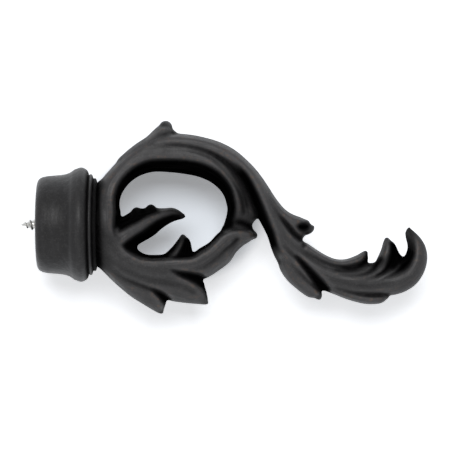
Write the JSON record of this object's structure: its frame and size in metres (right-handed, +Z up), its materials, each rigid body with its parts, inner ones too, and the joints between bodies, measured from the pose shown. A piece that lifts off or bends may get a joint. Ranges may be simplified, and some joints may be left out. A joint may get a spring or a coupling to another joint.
{
  "type": "curtain pole finial",
  "caption": "Pierced acanthus-scroll finial: a leafy C-and-S scroll on a round beaded socket collar with a dowel screw, for the end of a wooden curtain pole.",
  "frame": {"origin": "centre of the socket's mouth, in the plane of the collar's rim, on the axis of the screw and the pole", "axes": "+X along the pole's axis, away from the pole; +Z up as fitted; the scroll lies in the XZ plane and +Y points to its back"},
  "size_m": [0.1814, 0.0512, 0.0859],
  "materials": {
    "satin_black": "satin black paint on cast resin",
    "zinc_steel": "bright zinc plate"
  },
  "bodies": {
    "root": {"finial_casting": "satin_black", "dowel_screw": "zinc_steel"}
  },
  "joints": []
}
